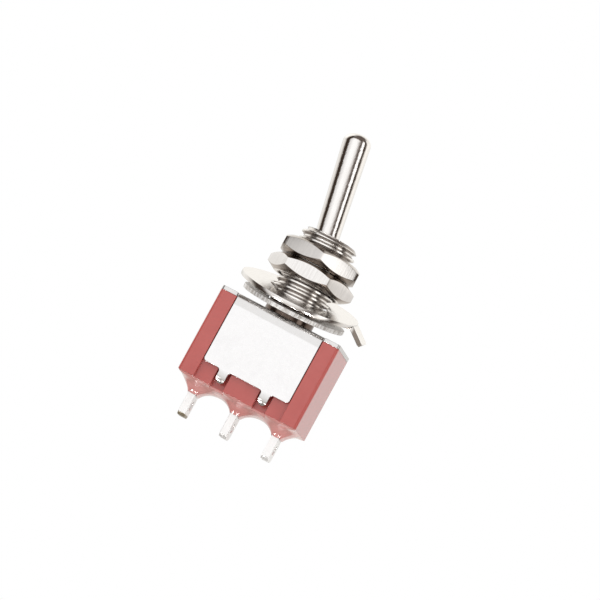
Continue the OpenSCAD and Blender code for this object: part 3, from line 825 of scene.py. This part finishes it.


# Painted shade on the near side face of the tab.
def tabSideShade(graph, colour):
    x, y, z = position(graph)
    tilt = math.radians(ring["tilt"])
    across = y * math.cos(tilt) + (z - ring["height"]) * math.sin(tilt)
    side = ramp(graph, 0 - across - ring["tabWidth"] / 2, ring["sideShadeFrom"])
    return mixColour(graph, side * ramp(graph, x, ring["sideShadeOut"]), colour, ring["sideShade"])


# The tab is a strip that leaves the ring flat and turns down through a bend; its far corners are rounded.
def bentTab():
    thickness, edge, corner = ring["thickness"], ring["edge"], ring["tabCorner"]
    tabAngle = math.radians(ring["tabAngle"])
    top = thickness / 2
    bendFrom = ring["tabRoot"] - ring["bendBefore"]
    radius = ring["bend"] + thickness
    path = [(bendFrom - ring["tabOverlap"], top, 0), (bendFrom, top, 0)]
    for i in range(1, ring["bendSteps"] + 1):
        angle = tabAngle * i / ring["bendSteps"]
        path.append((bendFrom + radius * math.sin(angle), top - radius + radius * math.cos(angle), angle))
    flatX, flatZ = path[-1][:2]
    endX = ring["tabRoot"] + ring["tabLength"] * math.cos(tabAngle)
    flatLength = (endX - flatX) / math.cos(tabAngle)
    for i in range(1, ring["endSteps"] + 1):
        along = flatLength * i / ring["endSteps"]
        path.append((flatX + along * math.cos(tabAngle), flatZ - along * math.sin(tabAngle), tabAngle))
    rows = []
    for k, (x, z, angle) in enumerate(path):
        left = min(flatLength * (len(path) - 1 - k) / ring["endSteps"], corner)
        width = ring["tabWidth"] / 2 - (corner - math.sqrt(corner ** 2 - (corner - left) ** 2))
        section = [
            (edge - width, 0), (width - edge, 0), (width, edge), (width, thickness - edge),
            (width - edge, thickness), (edge - width, thickness), (-width, thickness - edge), (-width, edge),
        ]
        rows.append([(x - down * math.sin(angle), y, z - down * math.cos(angle)) for y, down in section])
    return closeEnds(ringGrid("tab", np.array(rows), False))


def lockingRingMesh():
    keyTop = ring["thickness"] / 2 - ring["keyInset"]
    key = boxMesh(
        (-ring["hole"] - ring["keyOverlap"], -ring["keyHalf"], -keyTop),
        (-ring["keyTip"], ring["keyHalf"], keyTop),
    )
    flat = flatRing("lockingRing", ring["hole"], ring["radius"], ring["thickness"], ring["edge"])
    return tilted(combine(flat, [bentTab(), key], "UNION"), ring["height"], ring["tilt"])


ringPlate = platedMetal("ringPlate", {**ring["plate"], "tints": [tabSideShade]})
makeObject(
    "lockingRing", lockingRingMesh(), ringPlate, "switch_body", "locking_ring", sharp=30,
)


washer = {
    "radius": 5.45, "band": 1.1, "thickness": 0.45, "edge": 0.06, "height": 1.28, "tilt": 11.6,
    "teeth": 10, "toothWidth": 1.25, "toothTip": 3.16, "toothEdge": 0.025, "toothRatio": 0.8,
    "toothOverlap": 0.1, "toothShoulder": 0.15, "toothTaper": 0.2, "toothShares": (1.12, 1, 0.86, 0.66),
    "twist": 8,
    "steel": {
        "colour": (0.97, 0.955, 0.94), "stain": (0.44, 0.4, 0.36), "roughness": 0.36, "metallic": 0.4,
        "grain": (1, 1, 0.08), "grainSize": 5600, "bump": 0.8, "bumpDepth": 0.00002, "stainAmount": 0.15,
        "streak": 0.75, "streakFrom": 0.38,
    },
}


# Teeth narrow towards the middle by their shares of the full width, and each is twisted along its length.
def lockWasherMesh():
    inner = washer["radius"] - washer["band"]
    tip = washer["toothTip"]
    deep = washer["thickness"] * washer["toothRatio"] / 2
    reaches = [
        inner + washer["toothOverlap"], inner - washer["toothShoulder"], tip + washer["toothTaper"], tip,
    ]
    side = [
        (reach, washer["toothWidth"] / 2 * share) for reach, share in zip(reaches, washer["toothShares"])
    ]
    outline = side + [(radius, -width) for radius, width in reversed(side)]
    teeth = []
    for i in range(washer["teeth"]):
        tooth = slab(outline[::-1], -deep, deep)
        turn = Matrix.Rotation(2 * math.pi * i / washer["teeth"], 4, "Z")
        tooth.transform(turn @ Matrix.Rotation(math.radians(washer["twist"]), 4, "X"))
        teeth.append(roundEdges(tooth, washer["toothEdge"], 1))
    band = flatRing("lockWasher", inner, washer["radius"], washer["thickness"], washer["edge"])
    mesh = combine(band, teeth, "UNION")
    mesh.transform(Matrix.Translation((0, 0, washer["thickness"] / 2)))
    return tilted(mesh, washer["height"], washer["tilt"])


washerSteel = platedMetal("washerSteel", washer["steel"])
makeObject(
    "lockWasher", lockWasherMesh(), washerSteel, "switch_body", "lock_washer", sharp=30,
)
print("ring and washer made")


hidden = {
    "steel": {"colour": (0.6, 0.6, 0.61), "stain": (0.4, 0.38, 0.36), "roughness": 0.25},
    "silver": {"colour": (0.92, 0.91, 0.89), "stain": (0.7, 0.68, 0.64), "roughness": 0.3},
    "bronze": {"colour": (0.78, 0.55, 0.32), "stain": (0.5, 0.3, 0.16), "roughness": 0.25},
    "nylon": {
        "fixed": {"IOR": 1.53}, "cloud": (600, 3, 0.5), "colours": ((0.8, 0.76, 0.66), (0.86, 0.83, 0.75)),
        "roughness": 0.4, "roughSpread": 0.1,
    },
}
innerSteel = platedMetal("innerSteel", hidden["steel"])
innerSilver = platedMetal("innerSilver", hidden["silver"])


# The coil stays between the lever and the plunger; the share it would close up by over the plunger's travel
# is worked out, but nothing applies it.
def closingCoil():
    slide = next(joint for joint in frame["joints"] if joint["name"] == "plunger_slide")
    coil = makeObject(
        "plungerCoil", nodeMesh("plunger_spring", "plungerCoil"), innerSteel,
        "lever_body", "plunger_spring", sharp=40, flatten=False,
    )
    axis = Vector(slide["axis"])
    along = [(coil.matrix_world @ vertex.co).dot(axis) for vertex in coil.data.vertices]
    1 - slide["range_m"][1] / (max(along) - min(along))
    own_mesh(coil)


closingCoil()
for node, material in {
    "pivot_pin": innerSteel, "plunger": plastic("nylon", hidden["nylon"]),
    "rocker": platedMetal("rockerBronze", hidden["bronze"]),
    "contact_left": innerSilver, "contact_right": innerSilver,
}.items():
    plainPart = frame["nodes"][node]
    plainPart.data.materials.clear()
    plainPart.data.materials.append(material)
print("spring and inner pieces made")


# Walls go by the angle round the part in degrees, and roofs and the even fill by how far a ray rises, from
# -1 to 1. A glint is a direction and a strength, and its edge is where the cosine of the angle to it fades.
tent = {
    "strength": 1.2, "overhead": 0.9, "overheadFrom": [(0.8, 0), (0.95, 1)],
    "behindFrom": [(-0.08, 0), (0.08, 1)], "behindWay": (0.98, 0.19),
    "fill": [(-1, 0.62), (-0.2, 0.8), (1, 0.95)],
    "walls": [
        (-180, (0.72, 0.71, 0.69)), (-150, (0.7, 0.69, 0.67)), (-134, (0.88, 0.87, 0.85)),
        (-116, (0.86, 0.85, 0.83)), (-104, (0.7, 0.68, 0.66)), (-96, (0.56, 0.54, 0.51)),
        (-86, (0.04, 0.027, 0.02)), (-59, (0.04, 0.027, 0.02)), (-52, (0.68, 0.67, 0.66)),
        (-40, (0.78, 0.77, 0.77)), (-22, (1.0, 1.0, 1.0)), (6, (0.96, 0.96, 0.96)), (13, (0.84, 0.83, 0.82)),
        (23, (0.62, 0.6, 0.59)), (31, (0.3, 0.27, 0.25)), (38, (0.11, 0.09, 0.08)), (49, (0.12, 0.1, 0.09)),
        (53, (1.15, 1.13, 1.11)), (71, (1.25, 1.24, 1.22)), (76, (0.06, 0.045, 0.035)),
        (91, (0.05, 0.035, 0.028)), (98, (0.3, 0.28, 0.26)), (105, (0.66, 0.64, 0.61)),
        (116, (0.78, 0.76, 0.74)), (140, (0.72, 0.71, 0.69)), (180, (0.72, 0.71, 0.69)),
    ],
    "roofFront": [
        (-1, (0.5, 0.47, 0.44)), (-0.76, (0.55, 0.52, 0.49)), (-0.5, (0.85, 0.83, 0.81)),
        (-0.1, (1.0, 1.0, 1.0)), (0.5, (1.0, 1.0, 1.0)), (0.64, (0.92, 0.91, 0.9)),
        (0.75, (0.18, 0.15, 0.13)), (1, (0.12, 0.095, 0.085)),
    ],
    "roofBehind": [
        (-1, (0.44, 0.41, 0.38)), (-0.5, (0.28, 0.25, 0.22)), (-0.35, (0.92, 0.9, 0.88)),
        (0.15, (0.95, 0.95, 0.95)), (0.3, (1.25, 1.24, 1.22)), (0.5, (1.25, 1.24, 1.22)),
        (0.8, (1.1, 1.08, 1.06)), (0.87, (0.5, 0.48, 0.46)), (0.93, (0.14, 0.115, 0.1)),
        (1, (0.12, 0.095, 0.085)),
    ],
    "glints": [
        ((0.55, -0.62, -0.56), 22.0), ((-0.42, -0.72, -0.55), 16.0), ((0.12, -0.4, -0.91), 30.0),
        ((-0.3, -0.3, -0.9), 26.0), ((0.45, -0.2, -0.87), 26.0),
    ],
    "glintEdge": [(0.9955, 0), (0.9985, 1)],
}


# The tent as the part sees it: bright walls with dark flags between them, under a roof that darkens. Diffuse
# rays get a soft fill instead, and the camera itself sees plain white.
def makeWorld():
    world = bpy.data.worlds.new("tent")
    world.use_nodes = True
    world.node_tree.nodes.clear()
    graph = Graph(world.node_tree)
    east = graph.add("ShaderNodeSeparateXYZ", {}, {0: graph.add("ShaderNodeTexCoord", output="Generated")})
    north, up = east.sibling("Y"), east.sibling("Z")
    turn = graph.add("ShaderNodeMath", {"operation": "ARCTAN2"}, {0: east, 1: 0 - north})
    walls = mixColour(
        graph, ramp(graph, up, tent["overheadFrom"]), ramp(graph, turn * (180 / math.pi), tent["walls"]),
        grey(tent["overhead"]),
    )
    wayNorth, wayWest = tent["behindWay"]
    behind = ramp(graph, north * wayNorth - east * wayWest, tent["behindFrom"])
    roof = mixColour(graph, behind, ramp(graph, up, tent["roofFront"]), ramp(graph, up, tent["roofBehind"]))
    light = mixColour(graph, 1.0, walls, roof, "MULTIPLY")
    for way, strength in tent["glints"]:
        way = Vector(way).normalized()
        facing = east * way.x + north * way.y + up * way.z
        light = mixColour(graph, ramp(graph, facing, tent["glintEdge"]), light, grey(strength))
    camera = graph.add("ShaderNodeLightPath", output="Is Camera Ray")
    seen = mixColour(graph, camera.sibling("Is Diffuse Ray"), light, ramp(graph, up, tent["fill"]))
    lit = graph.add("ShaderNodeBackground", {}, {"Color": seen, "Strength": tent["strength"]})
    plain = graph.add("ShaderNodeBackground", {}, {"Color": grey(1.0), "Strength": 1.0})
    choice = graph.add("ShaderNodeMixShader", {}, {0: camera, 1: lit, 2: plain})
    graph.add("ShaderNodeOutputWorld", {}, {"Surface": choice})
    bpy.context.scene.world = world


paper = {"height": -0.066, "width": 1.2, "shades": (0.86, 0.9), "cloudSize": 9, "roughness": 0.9}


# The floor lies well under the part; reflections look through it.
def makeFloor():
    half, height = paper["width"] / 2, paper["height"]
    corners = [(-half, -half, height), (half, -half, height), (half, half, height), (-half, half, height)]
    floor = newObject("floor", meshFromPoints("floor", corners, [(0, 1, 2, 3)]))
    material, graph, shader = newMaterial("floorPaper", {"Roughness": paper["roughness"]})
    dark, pale = paper["shades"]
    shade = mixColour(graph, noise(graph, place(graph), paper["cloudSize"]), grey(dark), grey(pale))
    feed(graph, shader, {"Base Color": shade})
    glossy = graph.add("ShaderNodeLightPath", output="Is Glossy Ray")
    clear = graph.add("ShaderNodeBsdfTransparent")
    matt = Wire(graph, findSocket(shader.outputs, "BSDF"))
    both = graph.add("ShaderNodeMixShader", {}, {0: glossy, 1: matt, 2: clear})
    surface = next(node for node in graph.tree.nodes if node.type == "OUTPUT_MATERIAL").inputs["Surface"]
    graph.tree.links.new(both.socket, surface)
    floor.data.materials.append(material)


view = {
    "place": (0.093058, -0.488825, -0.048958), "lens": 305.16, "sensor": 36, "near": 0.01, "far": 10,
    "right": (0.87112526, 0.11534707, 0.47732153), "up": (-0.45455457, -0.17836462, 0.8726776),
}


def makeCamera():
    camera = newObject("camera", bpy.data.cameras.new("camera"))
    right, up = Vector(view["right"]), Vector(view["up"])
    matrix = Matrix((right, up, right.cross(up))).transposed().to_4x4()
    matrix.translation = Vector(view["place"])
    camera.matrix_world = matrix
    camera.data.lens = view["lens"]
    camera.data.sensor_width = view["sensor"]
    camera.data.clip_start = view["near"]
    camera.data.clip_end = view["far"]
    bpy.context.scene.camera = camera


makeWorld()
makeFloor()
makeCamera()
bpy.context.scene.view_settings.view_transform = "Standard"
print("studio made")
